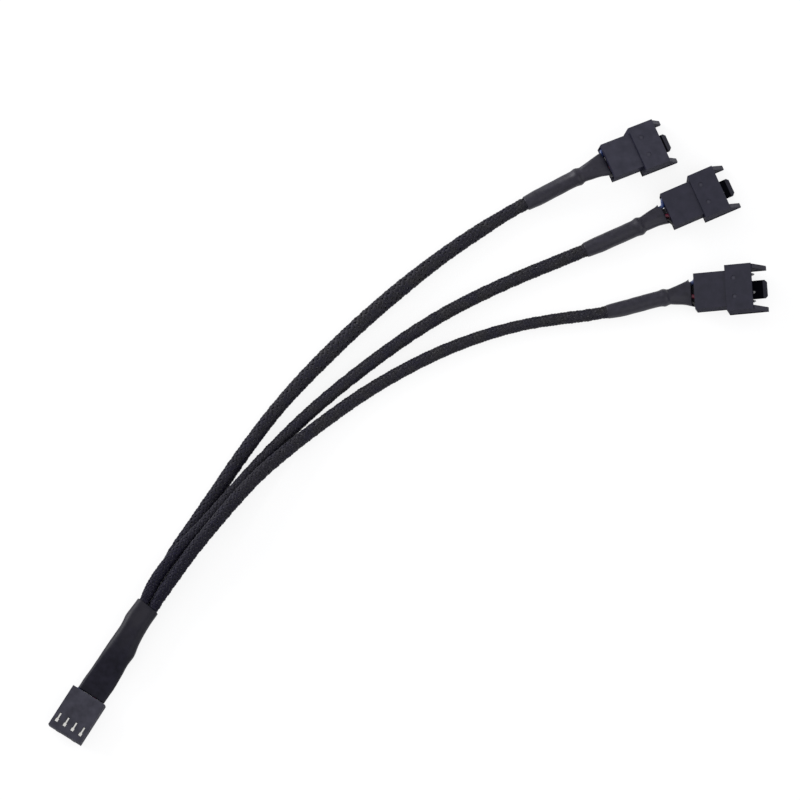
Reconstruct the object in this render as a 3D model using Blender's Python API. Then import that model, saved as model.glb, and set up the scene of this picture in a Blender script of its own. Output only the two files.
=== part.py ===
"""Fan splitter cable of a computer: one four-way header plug feeds three fan ports.

The cable lies on a table at z = 0, as it came to rest. Lengths are in millimetres and
become metres where a mesh or a curve is made. The header plug leads into a heat-shrunk
junction, where its four wires are spliced to those of three sleeved branches. Each
branch ends in a male housing that a fan's own plug slides into. The tachometer wire
runs on the first branch only, so the other two ports leave that pin out.
"""

import math

import bmesh
import bpy
from mathutils import Matrix, Vector

MM = 0.001
CIRCUIT_PITCH = 2.54
CIRCUITS = ("gnd", "power", "tach", "pwm")
GAP = 0.3
JOIN = 0.4

# Wire and sleeve
WIRE_DIAMETER = 1.1
WIRE_SPACING = 1.17
SLEEVE_WALL = 0.22
SLEEVE_SIDES = 12
SLEEVE_SPACING = 9.3
SHRINK_WALL = 0.3
SHRINK_CLEARANCE = 0.1
SHRINK_SIDES = 20

# Header plug, a female housing: x runs from its rear to its mouth
PLUG_REAR = Vector((-88.5, -74.3, 0.0))
PLUG_HEADING = 238.0
PLUG_LENGTH = 12.7
PLUG_WIDTH = 10.3
PLUG_BOTTOM = 0.9
PLUG_TOP = 5.8
PLUG_AXIS_HEIGHT = 3.35
PLUG_CAVITY = 2.0
PLUG_CAVITY_DEPTH = 11.5
PLUG_PIN_HOLE = 1.2
RIB_OFFSET = 2.54
RIB_WIDTH = 1.1
RIB_START = 1.6
WINDOW_START = 8.2
WINDOW_STEM = 0.6
WINDOW_HEAD = 1.0
WINDOW_HEAD_START = 9.9
WINDOW_END = 11.0
CONTACT_START = 1.8
CONTACT_CRIMP = 1.3
CONTACT_BOX_START = 4.6
CONTACT_BOX = 1.6
CONTACT_END = 11.2
CONTACT_BORE = 0.9
BORE_START = 1.0
TAB_TOP = 2.15
TAB_MARGIN = 0.1

# Junction, measured from the plug's rear along the cable
JUNCTION_HEADING = PLUG_HEADING - 180.0
JUNCTION_START = 0.5
JUNCTION_SHIFT = 0.45
JUNCTION_END = 28.3
SPLICE_START = 6.0
SPLICE_END = 16.0
BRANCH_START = 16.3
SLEEVE_START = 24.5
PIGTAIL_SQUEEZE = 0.89
PIGTAIL_ENTRY_SQUEEZE = 0.97
LUMP_INSET = 0.15
LOW_SLEEVE_HEIGHT = 2.16
HIGH_SLEEVE_HEIGHT = 5.1
HIGH_SLEEVE_OFFSET = 1.56

# Fan port, a male housing: x runs from its rear to the tips of its guards
BODY_LENGTH = 8.9
BODY_WIDTH = 10.1
BODY_BOTTOM = 0.9
BODY_TOP = 6.2
PORT_AXIS_HEIGHT = 3.55
PORT_CAVITY = 2.2
PORT_CAVITY_DEPTH = 8.3
PORT_PIN_HOLE = 0.95
SHROUD_END = 16.3
SHROUD_WIDTH = 12.9
SHROUD_TOP = 7.0
SHROUD_ROOF = 1.0
SHROUD_WALL = 1.15
WEB_END = 10.0
GUARD_TIP = 19.8
GUARD_TOP = 5.8
GUARD_TIP_TOP = 1.1
GUARD_SHOULDER = 0.2
TONGUE_WIDTH = 5.1
TONGUE_THICKNESS = 1.0
TONGUE_CORNER = 0.6
EJECTOR_RADIUS = 0.75
EJECTOR_DEPTH = 0.12
EJECTOR_PLACE = (11.3, 2.65)
PIN_SIZE = 0.64
PIN_TAIL_START = 2.4
PIN_CRIMP = 1.3
PIN_BOX_START = 4.8
PIN_BOX = 1.7
PIN_BOX_END = 8.0
PIN_TIP = 16.8
PIN_TAPER = 0.5
PIN_TIP_SCALE = 0.45

# Branch ends, measured back from the port's rear
SHRINK_LENGTH = 24.0
SHRINK_SETBACK = 1.3
SLEEVE_SETBACK = 8.6
ENTRY_INSET = 0.45
ENTRY_DEPTH = 0.2
RIDGE_HEIGHT = 0.22
RIDGE_START = 1.2
RIDGE_END = 0.2
FAN_STEPS = 5
NECK_HALF_WIDTH = 2.15
NECK_HALF_HEIGHT = 1.8
NECK_SLACK = 0.15

# Each branch: its circuits, its port, and its route from the junction. The middle points
# were laid by hand along the cable, from the junction outward, with heights in the third
# place. The first branch leaves the junction underneath, the second lies half over it,
# and the third lies over the second until they part.
BRANCHES = (
    {
        "circuits": ("gnd", "power", "tach", "pwm"),
        "junction_place": (0.0, LOW_SLEEVE_HEIGHT),
        "route": (
            (-69.8, -43.0, 2.05), (-66.1, -35.2, 2.05), (-60.1, -26.2, 2.1), (-54.0, -17.2, 2.15),
            (-48.1, -8.3, 2.2), (-36.9, 6.8, 2.3), (-22.9, 22.0, 2.4), (-3.5, 39.9, 2.4), (8.0, 49.1, 2.4),
            (19.1, 56.9, 2.3), (30.0, 63.6, 2.6), (35.6, 66.4, 2.95), (41.2, 69.2, 3.9), (47.1, 71.9, 5.6),
        ),
        "sleeve_radii": (
            (0.0, 1.75), (10.0, 1.93), (40.0, 2.08), (65.0, 2.06), (88.0, 2.3), (115.0, 2.32),
            (132.0, 2.13), (142.0, 2.1), (152.0, 1.88), (260.0, 1.8),
        ),
        "rear": (53.7, 74.85),
        "heading": 23.5,
        "pitch": -8.5,
        "approach": 2.0,
        "mouth_half_width": 3.3,
        "mouth_offset": 0.0,
    },
    {
        "circuits": ("gnd", "power", "pwm"),
        "junction_place": (HIGH_SLEEVE_OFFSET, HIGH_SLEEVE_HEIGHT),
        "route": (
            (-70.5, -42.4, 5.6), (-67.4, -38.0, 5.8), (-62.2, -32.0, 5.65), (-57.2, -26.6, 5.2),
            (-50.1, -18.3, 4.1), (-43.6, -10.6, 2.6), (-39.4, -6.0, 2.15), (-31.2, 2.4, 2.1),
            (-14.5, 16.8, 2.1), (7.7, 32.4, 2.1), (30.0, 43.6, 2.1), (41.0, 48.2, 2.2), (49.5, 51.7, 2.55),
            (57.9, 55.4, 2.9), (64.2, 58.3, 3.3),
        ),
        "sleeve_radii": (
            (0.0, 1.5), (8.0, 1.7), (60.0, 1.9), (120.0, 1.95), (260.0, 1.9),
        ),
        "rear": (71.2, 61.95),
        "heading": 23.5,
        "pitch": 1.0,
        "approach": 3.0,
        "mouth_half_width": 3.1,
        "mouth_offset": -0.2,
    },
    {
        "circuits": ("gnd", "power", "pwm"),
        "junction_place": (-HIGH_SLEEVE_OFFSET, HIGH_SLEEVE_HEIGHT),
        "route": (
            (-69.1, -46.8, 5.95), (-66.2, -42.7, 6.5), (-60.6, -35.0, 7.7), (-54.9, -27.9, 8.4),
            (-49.5, -21.3, 7.8), (-43.2, -14.1, 6.6), (-35.2, -6.5, 4.75), (-29.7, -1.8, 3.65),
            (-23.8, 2.9, 2.7), (-14.4, 9.8, 2.1), (-3.3, 16.6, 2.05), (7.7, 22.2, 2.0), (18.8, 26.6, 1.95),
            (30.0, 29.8, 1.95), (41.0, 31.7, 2.1), (49.7, 32.8, 2.4), (57.6, 34.3, 2.55),
            (63.2, 35.8, 2.6), (69.4, 37.45, 2.55), (73.2, 38.2, 2.25),
        ),
        "sleeve_radii": (
            (0.0, 1.5), (8.0, 1.7), (40.0, 1.92), (85.0, 1.95), (105.0, 1.88), (122.0, 1.76),
            (136.0, 1.68), (148.0, 1.78), (260.0, 1.84),
        ),
        "rear": (79.5, 38.95),
        "heading": 3.0,
        "pitch": 11.0,
        "approach": 2.5,
        "mouth_half_width": 3.8,
        "mouth_offset": 0.0,
    },
)

# Colours are linear, as the shader takes them
FINISHES = {
    "housing": ((0.036, 0.036, 0.042), 0.42, 0.0),
    "shrink": ((0.026, 0.026, 0.031), 0.48, 0.0),
    "sleeve": ((0.017, 0.016, 0.022), 0.7, 0.0),
    "splice": ((0.03, 0.03, 0.03), 0.6, 0.0),
    "contact": ((0.78, 0.77, 0.74), 0.22, 1.0),
    "gnd": ((0.018, 0.018, 0.02), 0.4, 0.0),
    "power": ((0.42, 0.028, 0.03), 0.38, 0.0),
    "tach": ((0.62, 0.61, 0.58), 0.4, 0.0),
    "pwm": ((0.04, 0.1, 0.42), 0.38, 0.0),
}


def clear_scene():
    for item in list(bpy.data.objects):
        bpy.data.objects.remove(item, do_unlink=True)


def finish(item, kind):
    """Give the object a material of its own, in the finish named."""
    colour, roughness, metallic = FINISHES[kind]
    material = bpy.data.materials.new(f"{item.name}_{kind}")
    material.use_nodes = True
    shader = material.node_tree.nodes["Principled BSDF"]
    shader.inputs["Base Color"].default_value = (*colour, 1.0)
    shader.inputs["Roughness"].default_value = roughness
    shader.inputs["Metallic"].default_value = metallic
    material.diffuse_color = (*colour, 1.0)
    item.data.materials.clear()
    item.data.materials.append(material)


def add_object(name, data, matrix=None):
    item = bpy.data.objects.new(name, data)
    bpy.context.collection.objects.link(item)
    if matrix is not None:
        item.matrix_world = matrix
    return item


def placement(rear, height, heading, pitch=0.0):
    """Frame of a housing: x forward, y to its left, z up, tilted nose up by pitch degrees."""
    turn = Matrix.Rotation(math.radians(heading), 4, "Z") @ Matrix.Rotation(-math.radians(pitch), 4, "Y")
    return Matrix.Translation(Vector((rear[0], rear[1], height)) * MM) @ turn


def to_world(frame, place):
    """World place in millimetres of a place given in a housing's frame."""
    return frame @ (Vector(place) * MM) / MM


def direction(frame, vector):
    return (frame.to_3x3() @ Vector(vector)).normalized()


# Solids


def box(low, high):
    """Bmesh of a box between two corners, in millimetres."""
    solid = bmesh.new()
    bmesh.ops.create_cube(solid, size=1.0)
    low, high = Vector(low), Vector(high)
    for vertex in solid.verts:
        for axis in range(3):
            vertex.co[axis] = (low[axis] + high[axis]) / 2.0 + vertex.co[axis] * (high[axis] - low[axis])
    return solid


def prism(outline, low, high):
    """Bmesh of an outline in x and y, extruded from one height to another."""
    solid = bmesh.new()
    bottom = [solid.verts.new((x, y, low)) for x, y in outline]
    face = solid.faces.new(bottom)
    raised = bmesh.ops.extrude_face_region(solid, geom=[face])
    for item in raised["geom"]:
        if isinstance(item, bmesh.types.BMVert):
            item.co.z = high
    bmesh.ops.recalc_face_normals(solid, faces=solid.faces)
    return solid


def disc(place, radius, low, high, sides=16):
    outline = [
        (
            place[0] + radius * math.cos(math.tau * k / sides),
            place[1] + radius * math.sin(math.tau * k / sides),
        )
        for k in range(sides)
    ]
    return prism(outline, low, high)


def to_mesh(name, solid):
    """Mesh in metres of a bmesh in millimetres, with flat shading."""
    mesh = bpy.data.meshes.new(name)
    bmesh.ops.scale(solid, vec=(MM, MM, MM), verts=solid.verts)
    solid.to_mesh(mesh)
    solid.free()
    return mesh


def combine(item, operation, solids):
    """Join solids to an object or cut them from it, one Boolean after another."""
    for number, solid in enumerate(solids):
        tool = add_object(f"{item.name}_tool_{number}", to_mesh(f"{item.name}_tool_{number}", solid))
        tool.matrix_world = item.matrix_world
        modifier = item.modifiers.new(f"{operation.lower()}_{number}", "BOOLEAN")
        modifier.operation = operation
        modifier.solver = "EXACT"
        modifier.object = tool
        bpy.context.view_layer.update()
        graph = bpy.context.evaluated_depsgraph_get()
        result = bpy.data.meshes.new_from_object(item.evaluated_get(graph))
        item.modifiers.clear()
        item.data = result
        bpy.data.objects.remove(tool, do_unlink=True)


def loft(name, rings, hollow_rings=None):
    """Mesh through rings of world places: a solid with end caps, or a tube with a bore."""
    solid = bmesh.new()
    rows = [[solid.verts.new(Vector(p) * MM) for p in ring] for ring in rings]
    if hollow_rings is None:
        solid.faces.new(rows[0])
        solid.faces.new(rows[-1])
        pairs = list(zip(rows, rows[1:]))
    else:
        rows += [[solid.verts.new(Vector(p) * MM) for p in ring] for ring in reversed(hollow_rings)]
        pairs = list(zip(rows, rows[1:] + rows[:1]))
    for row, following in pairs:
        count = len(row)
        for k in range(count):
            solid.faces.new((row[k], row[(k + 1) % count], following[(k + 1) % count], following[k]))
    bmesh.ops.recalc_face_normals(solid, faces=solid.faces)
    mesh = bpy.data.meshes.new(name)
    solid.to_mesh(mesh)
    solid.free()
    mesh.shade_smooth()
    mesh.set_sharp_from_angle(angle=math.radians(40.0))
    return mesh


# Routes and sections


def smooth_curve(points, steps=16):
    """Dense places on a smooth curve through the points, with slopes that suit their spacing."""
    points = [Vector(p) for p in points]
    spans = [(b - a).length for a, b in zip(points, points[1:])]
    slopes = [(points[1] - points[0]) / spans[0]]
    for k in range(1, len(points) - 1):
        before = (points[k] - points[k - 1]) / spans[k - 1]
        after = (points[k + 1] - points[k]) / spans[k]
        slopes.append((before * spans[k] + after * spans[k - 1]) / (spans[k - 1] + spans[k]))
    slopes.append((points[-1] - points[-2]) / spans[-1])
    dense = [points[0]]
    for k, span in enumerate(spans):
        for step in range(1, steps + 1):
            t = step / steps
            start = (1.0 + 2.0 * t) * (1.0 - t) ** 2 * points[k] + t * (1.0 - t) ** 2 * span * slopes[k]
            end = t * t * (3.0 - 2.0 * t) * points[k + 1] - t * t * (1.0 - t) * span * slopes[k + 1]
            dense.append(start + end)
    return dense


class Route:
    """A centre line with its distances, read at any distance from its start."""

    def __init__(self, points):
        self.places = smooth_curve(points)
        self.distances = [0.0]
        for a, b in zip(self.places, self.places[1:]):
            self.distances.append(self.distances[-1] + (b - a).length)
        self.length = self.distances[-1]

    def at(self, distance):
        distance = min(max(distance, 0.0), self.length)
        k = 1
        while self.distances[k] < distance and k < len(self.distances) - 1:
            k += 1
        span = self.distances[k] - self.distances[k - 1]
        return self.places[k - 1].lerp(self.places[k], (distance - self.distances[k - 1]) / span)

    def frame(self, distance):
        """Centre, left and up at a distance, across the line."""
        forward = (self.at(distance + 0.4) - self.at(distance - 0.4)).normalized()
        left = Vector((0.0, 0.0, 1.0)).cross(forward).normalized()
        return self.at(distance), left, forward.cross(left)


def read_table(table, value):
    """Value between the pairs of a short table, eased from one to the next."""
    if value <= table[0][0]:
        return table[0][1]
    for (low, start), (high, end) in zip(table, table[1:]):
        if value <= high:
            t = (value - low) / (high - low)
            return start + (end - start) * t * t * (3.0 - 2.0 * t)
    return table[-1][1]


def hug(circles, margin, sides=SHRINK_SIDES):
    """Outline that a tight skin takes round circles (across, up, radius), as across and up."""
    outline = []
    for k in range(sides):
        angle = math.tau * (k + 0.5) / sides
        across, up = math.cos(angle), math.sin(angle)
        held = max(circles, key=lambda c: c[0] * across + c[1] * up + c[2])
        outline.append((held[0] + (held[2] + margin) * across, held[1] + (held[2] + margin) * up))
    return outline


def ring_in(frame, outline):
    centre, left, up = frame
    return [centre + left * across + up * height for across, height in outline]


def circle_outline(radius, sides):
    return [
        (radius * math.cos(math.tau * (k + 0.5) / sides), radius * math.sin(math.tau * (k + 0.5) / sides))
        for k in range(sides)
    ]


def add_wire(name, points, kind):
    """Round insulated wire along world places, as a bevelled curve with filled ends."""
    curve = bpy.data.curves.new(name, "CURVE")
    curve.dimensions = "3D"
    curve.bevel_depth = WIRE_DIAMETER / 2.0 * MM
    curve.bevel_resolution = 2
    curve.use_fill_caps = True
    spline = curve.splines.new("POLY")
    spline.points.add(len(points) - 1)
    for point, place in zip(spline.points, points):
        point.co = (*(Vector(place) * MM), 1.0)
    finish(add_object(name, curve), kind)


# Header plug


def circuit_offset(circuit):
    """Place of a circuit across a fan port, with the ground wire on the right."""
    return (CIRCUITS.index(circuit) - 1.5) * CIRCUIT_PITCH


def build_plug_housing(frame):
    half = PLUG_WIDTH / 2.0
    item = add_object(
        "header_plug_housing",
        to_mesh("header_plug_housing", box((0.0, -half, PLUG_BOTTOM), (PLUG_LENGTH, half, PLUG_TOP))),
        frame,
    )
    combine(item, "UNION", [
        box(
            (RIB_START, side * RIB_OFFSET - RIB_WIDTH / 2.0, 0.0),
            (PLUG_LENGTH, side * RIB_OFFSET + RIB_WIDTH / 2.0, PLUG_BOTTOM + JOIN),
        )
        for side in (-1.0, 1.0)
    ])
    cuts = []
    for circuit in CIRCUITS:
        across = -circuit_offset(circuit)
        cavity, hole = PLUG_CAVITY / 2.0, PLUG_PIN_HOLE / 2.0
        low, high = PLUG_AXIS_HEIGHT - cavity, PLUG_AXIS_HEIGHT + cavity
        cuts.append(box((-1.0, across - cavity, low), (PLUG_CAVITY_DEPTH, across + cavity, high)))
        cuts.append(box(
            (PLUG_CAVITY_DEPTH - JOIN, across - hole, PLUG_AXIS_HEIGHT - hole),
            (PLUG_LENGTH + 1.0, across + hole, PLUG_AXIS_HEIGHT + hole),
        ))
        stem, head = WINDOW_STEM / 2.0, WINDOW_HEAD / 2.0
        cuts.append(prism(
            (
                (WINDOW_START, across - stem), (WINDOW_HEAD_START, across - stem),
                (WINDOW_HEAD_START, across - head), (WINDOW_END, across - head),
                (WINDOW_END, across + head), (WINDOW_HEAD_START, across + head),
                (WINDOW_HEAD_START, across + stem), (WINDOW_START, across + stem),
            ),
            PLUG_AXIS_HEIGHT, PLUG_TOP + 1.0,
        ))
    combine(item, "DIFFERENCE", cuts)
    finish(item, "housing")


def build_plug_contact(frame, circuit):
    """Crimped socket contact: a box that grips the header pin, with a tab in the window."""
    across = -circuit_offset(circuit)
    shell, crimp, bore = CONTACT_BOX / 2.0, CONTACT_CRIMP / 2.0, CONTACT_BORE / 2.0
    name = f"header_contact_{circuit}"
    body = box(
        (CONTACT_BOX_START, across - shell, PLUG_AXIS_HEIGHT - shell),
        (CONTACT_END, across + shell, PLUG_AXIS_HEIGHT + shell),
    )
    item = add_object(name, to_mesh(name, body), frame)
    stem = WINDOW_STEM / 2.0 - TAB_MARGIN
    head = WINDOW_HEAD / 2.0 - TAB_MARGIN
    combine(item, "UNION", [
        box(
            (CONTACT_START, across - crimp, PLUG_AXIS_HEIGHT - crimp),
            (CONTACT_BOX_START + JOIN, across + crimp, PLUG_AXIS_HEIGHT + crimp),
        ),
        prism(
            (
                (WINDOW_START + TAB_MARGIN, across - stem),
                (WINDOW_HEAD_START + TAB_MARGIN, across - stem),
                (WINDOW_HEAD_START + TAB_MARGIN, across - head),
                (WINDOW_END - TAB_MARGIN, across - head),
                (WINDOW_END - TAB_MARGIN, across + head),
                (WINDOW_HEAD_START + TAB_MARGIN, across + head),
                (WINDOW_HEAD_START + TAB_MARGIN, across + stem),
                (WINDOW_START + TAB_MARGIN, across + stem),
            ),
            PLUG_AXIS_HEIGHT + bore + TAB_MARGIN, PLUG_AXIS_HEIGHT + TAB_TOP,
        ),
    ])
    combine(item, "DIFFERENCE", [box(
        (CONTACT_BOX_START + BORE_START, across - bore, PLUG_AXIS_HEIGHT - bore),
        (CONTACT_END + 1.0, across + bore, PLUG_AXIS_HEIGHT + bore),
    )])
    finish(item, "contact")


# Junction


def junction_frame(frame, distance):
    """Centre, left and up across the junction, on its middle line at the plug's axis height."""
    centre = to_world(frame, (distance, 0.0, PLUG_AXIS_HEIGHT))
    return centre, direction(frame, (0.0, 1.0, 0.0)), direction(frame, (0.0, 0.0, 1.0))


def pigtail_circles(squeeze):
    return [(circuit_offset(c) * squeeze, 0.0, WIRE_DIAMETER / 2.0) for c in CIRCUITS]


def sleeve_circles():
    """The three sleeves in the junction's mouth, as circles about its middle line."""
    return [
        (
            branch["junction_place"][0],
            branch["junction_place"][1] - PLUG_AXIS_HEIGHT,
            branch["sleeve_radii"][0][1],
        )
        for branch in BRANCHES
    ]


def build_junction(frame):
    """Wrapped splices as one sealed lump, and the heat shrink over them, hollow at both ends."""
    row, mouth = pigtail_circles(PIGTAIL_SQUEEZE), sleeve_circles()

    def blend(t):
        """Circles that pass from the flat row of pigtails to the stacked sleeves."""
        targets = (mouth[2], mouth[0], mouth[0], mouth[1])
        return [tuple(a + (b - a) * t for a, b in zip(c, d)) for c, d in zip(row, targets)]

    lump = []
    for distance, t in ((SPLICE_START, 0.0), (9.5, 0.35), (13.0, 0.75), (SPLICE_END, 1.0)):
        lump.append(ring_in(junction_frame(frame, distance), hug(blend(t), -LUMP_INSET)))
    finish(add_object("splice_bundle", loft("splice_bundle", lump)), "splice")

    stations = (
        (JUNCTION_START, 0.0, 0.0), (4.0, 0.0, 0.1), (SPLICE_START, 0.0, 0.15), (9.5, 0.35, 0.0),
        (13.0, 0.75, 0.1), (SPLICE_END, 1.0, 0.0), (21.0, 1.0, 0.0), (SLEEVE_START, 1.0, 0.02),
        (JUNCTION_END, 1.0, 0.0),
    )
    inner, outer = [], []
    for distance, t, swell in stations:
        place = junction_frame(frame, distance)
        inner.append(ring_in(place, hug(blend(t), SHRINK_CLEARANCE)))
        outer.append(ring_in(place, hug(blend(t), SHRINK_CLEARANCE + SHRINK_WALL + swell)))
    finish(add_object("junction_heat_shrink", loft("junction_heat_shrink", outer, inner)), "shrink")


def build_pigtails(plug):
    """Four short wires from the plug's contacts into the splices."""
    for circuit in CIRCUITS:
        across = -circuit_offset(circuit)
        squeezed = across * PIGTAIL_SQUEEZE + JUNCTION_SHIFT
        stations = (
            (CONTACT_START - GAP, across), (0.0, across * PIGTAIL_ENTRY_SQUEEZE), (-JUNCTION_START, squeezed),
            (-SPLICE_START + GAP, squeezed),
        )
        points = [to_world(plug, (x, y, PLUG_AXIS_HEIGHT)) for x, y in stations]
        add_wire(f"pigtail_{circuit}", points, circuit)


# Fan ports and branches


def port_corners():
    """Lowest corners of a fan port, which decide how high it lies when tilted."""
    return (
        (0.0, 0.0, BODY_BOTTOM), (BODY_LENGTH, 0.0, 0.0), (SHROUD_END, 0.0, 0.0), (GUARD_TIP, 0.0, 0.0),
    )


def port_frame(branch):
    level = placement(branch["rear"], 0.0, branch["heading"], branch["pitch"])
    lowest = min(to_world(level, corner).z for corner in port_corners())
    return placement(branch["rear"], -lowest, branch["heading"], branch["pitch"])


def guard(side):
    """Side wall carried on past the roof, with a top edge that falls to its tip."""
    outer, inner = SHROUD_WIDTH / 2.0, SHROUD_WIDTH / 2.0 - SHROUD_WALL
    root = SHROUD_END - JOIN
    outline = (
        (root, 0.0), (GUARD_TIP, 0.0), (GUARD_TIP, GUARD_TIP_TOP), (SHROUD_END + GUARD_SHOULDER, GUARD_TOP),
        (root, GUARD_TOP),
    )
    solid = prism(outline, inner, outer)
    for vertex in solid.verts:
        vertex.co = Vector((vertex.co.x, vertex.co.z * side, vertex.co.y))
    bmesh.ops.recalc_face_normals(solid, faces=solid.faces)
    return solid


def build_port_housing(frame, number):
    name = f"fan_port_{number}_housing"
    body, shroud = BODY_WIDTH / 2.0, SHROUD_WIDTH / 2.0
    block = box((BODY_LENGTH, -shroud, 0.0), (SHROUD_END, shroud, SHROUD_TOP))
    item = add_object(name, to_mesh(name, block), frame)
    combine(item, "UNION", [
        box((0.0, -body, BODY_BOTTOM), (BODY_LENGTH + JOIN, body, BODY_TOP)),
        guard(1.0),
        guard(-1.0),
    ])
    inside = shroud - SHROUD_WALL
    combine(item, "DIFFERENCE", [
        box((WEB_END, -inside, -1.0), (GUARD_TIP + 1.0, inside, SHROUD_TOP - SHROUD_ROOF)),
    ])
    tongue, corner = TONGUE_WIDTH / 2.0, TONGUE_CORNER
    combine(item, "UNION", [prism(
        (
            (WEB_END - JOIN, -tongue), (GUARD_TIP - corner, -tongue), (GUARD_TIP, -tongue + corner),
            (GUARD_TIP, tongue - corner), (GUARD_TIP - corner, tongue), (WEB_END - JOIN, tongue),
        ),
        0.0, TONGUE_THICKNESS,
    )])
    cavity, hole = PORT_CAVITY / 2.0, PORT_PIN_HOLE / 2.0
    cuts = []
    for circuit in CIRCUITS:
        across = circuit_offset(circuit)
        cuts.append(box(
            (-1.0, across - cavity, PORT_AXIS_HEIGHT - cavity),
            (PORT_CAVITY_DEPTH, across + cavity, PORT_AXIS_HEIGHT + cavity),
        ))
        cuts.append(box(
            (PORT_CAVITY_DEPTH - JOIN, across - hole, PORT_AXIS_HEIGHT - hole),
            (WEB_END + JOIN, across + hole, PORT_AXIS_HEIGHT + hole),
        ))
    for side in (-1.0, 1.0):
        place = (EJECTOR_PLACE[0], side * EJECTOR_PLACE[1])
        cuts.append(disc(place, EJECTOR_RADIUS, SHROUD_TOP - EJECTOR_DEPTH, SHROUD_TOP + 1.0))
    combine(item, "DIFFERENCE", cuts)
    finish(item, "housing")


def build_port_pin(frame, number, circuit):
    """Crimped pin: crimp, locating box and a square pin with a tapered tip."""
    across = circuit_offset(circuit)
    crimp, shell, pin = PIN_CRIMP / 2.0, PIN_BOX / 2.0, PIN_SIZE / 2.0
    stations = (
        (PIN_TAIL_START, crimp), (PIN_BOX_START, crimp), (PIN_BOX_START, shell), (PIN_BOX_END, shell),
        (PIN_BOX_END, pin), (PIN_TIP - PIN_TAPER, pin), (PIN_TIP, pin * PIN_TIP_SCALE),
    )
    rings = []
    for x, half in stations:
        corners = ((half, half), (-half, half), (-half, -half), (half, -half))
        rings.append([to_world(frame, (x, across + y, PORT_AXIS_HEIGHT + z)) for y, z in corners])
    name = f"fan_port_{number}_pin_{circuit}"
    mesh = loft(name, rings)
    mesh.shade_flat()
    finish(add_object(name, mesh), "contact")


def bundle_places(circuits):
    """Places of a branch's wires inside its sleeve, as across and up."""
    half = WIRE_SPACING / 2.0
    if len(circuits) == 4:
        return {"pwm": (half, half), "tach": (half, -half), "power": (-half, half), "gnd": (-half, -half)}
    reach = WIRE_SPACING / math.sqrt(3.0)
    return {"pwm": (half, -reach / 2.0), "gnd": (-half, -reach / 2.0), "power": (0.0, reach)}


def branch_route(branch, junction, port):
    """Centre line from the splices to the port's cavities."""
    across, height = branch["junction_place"]
    start = [
        to_world(junction, (x, across, height)) for x in (BRANCH_START, SLEEVE_START - 2.0, JUNCTION_END)
    ]
    end = [
        to_world(port, (x, 0.0, PORT_AXIS_HEIGHT)) for x in (-branch["approach"], 0.0, PIN_TAIL_START - GAP)
    ]
    return Route(start + [Vector(p) for p in branch["route"]] + end)


def branch_stations(rear):
    """Distances of the shared stations, from the splices to the end of the sleeve."""
    last = rear - SLEEVE_SETBACK
    first = SLEEVE_START - BRANCH_START
    mouth = JUNCTION_END - BRANCH_START
    count = round((last - mouth) / SLEEVE_SPACING)
    return [0.0, first] + [mouth + (last - mouth) * k / count for k in range(count + 1)]


def wire_place(branch, circuit, rear, distance):
    """Place of one wire across its branch: bundled in the sleeve, then fanned out to its cavity."""
    bundled = bundle_places(branch["circuits"])[circuit]
    fan_start, mouth = rear - SLEEVE_SETBACK, rear - SHRINK_SETBACK
    if distance <= fan_start:
        return bundled
    row_edge = branch["mouth_half_width"] - SHRINK_WALL - SHRINK_CLEARANCE - WIRE_DIAMETER / 2.0
    squeeze = row_edge / (1.5 * CIRCUIT_PITCH)
    across = circuit_offset(circuit)
    row = across * squeeze + branch["mouth_offset"]
    if distance <= mouth:
        t = (distance - fan_start) / (mouth - fan_start)
        return bundled[0] + (row - bundled[0]) * t, bundled[1] * (1.0 - t * t)
    if distance <= rear:
        entry = math.copysign(abs(across) - ENTRY_INSET, across)
        t = (distance - mouth) / (rear - mouth)
        return row + (entry - row) * t, 0.0
    return across, 0.0


def fan_stations(sleeve_end, mouth):
    """Distances over which the wires fan out, past the sleeve's end to the shrink's mouth."""
    return [sleeve_end + (mouth - sleeve_end) * k / FAN_STEPS for k in range(1, FAN_STEPS + 1)]


def build_branch(number, branch, junction):
    port = port_frame(branch)
    build_port_housing(port, number)
    for circuit in branch["circuits"]:
        build_port_pin(port, number, circuit)

    route = branch_route(branch, junction, port)
    rear = route.length - (PIN_TAIL_START - GAP)
    stations = branch_stations(rear)
    mouth = rear - SHRINK_SETBACK
    fan = fan_stations(stations[-1], mouth)
    for circuit in branch["circuits"]:
        points = []
        for distance in stations + fan + [rear + ENTRY_DEPTH, route.length]:
            centre, left, up = route.frame(distance)
            across, height = wire_place(branch, circuit, rear, distance)
            points.append(centre + left * across + up * height)
        add_wire(f"branch_{number}_wire_{circuit}", points, circuit)

    def sleeve_radius(distance):
        return read_table(branch["sleeve_radii"], distance - (JUNCTION_END - BRANCH_START))

    outer, inner = [], []
    for distance in stations[1:]:
        place = route.frame(distance)
        outer.append(ring_in(place, circle_outline(sleeve_radius(distance), SLEEVE_SIDES)))
        inner.append(ring_in(place, circle_outline(sleeve_radius(distance) - SLEEVE_WALL, SLEEVE_SIDES)))
    name = f"branch_{number}_sleeve"
    finish(add_object(name, loft(name, outer, inner)), "sleeve")
    build_branch_shrink(number, branch, route, rear, sleeve_radius, stations)


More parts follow.
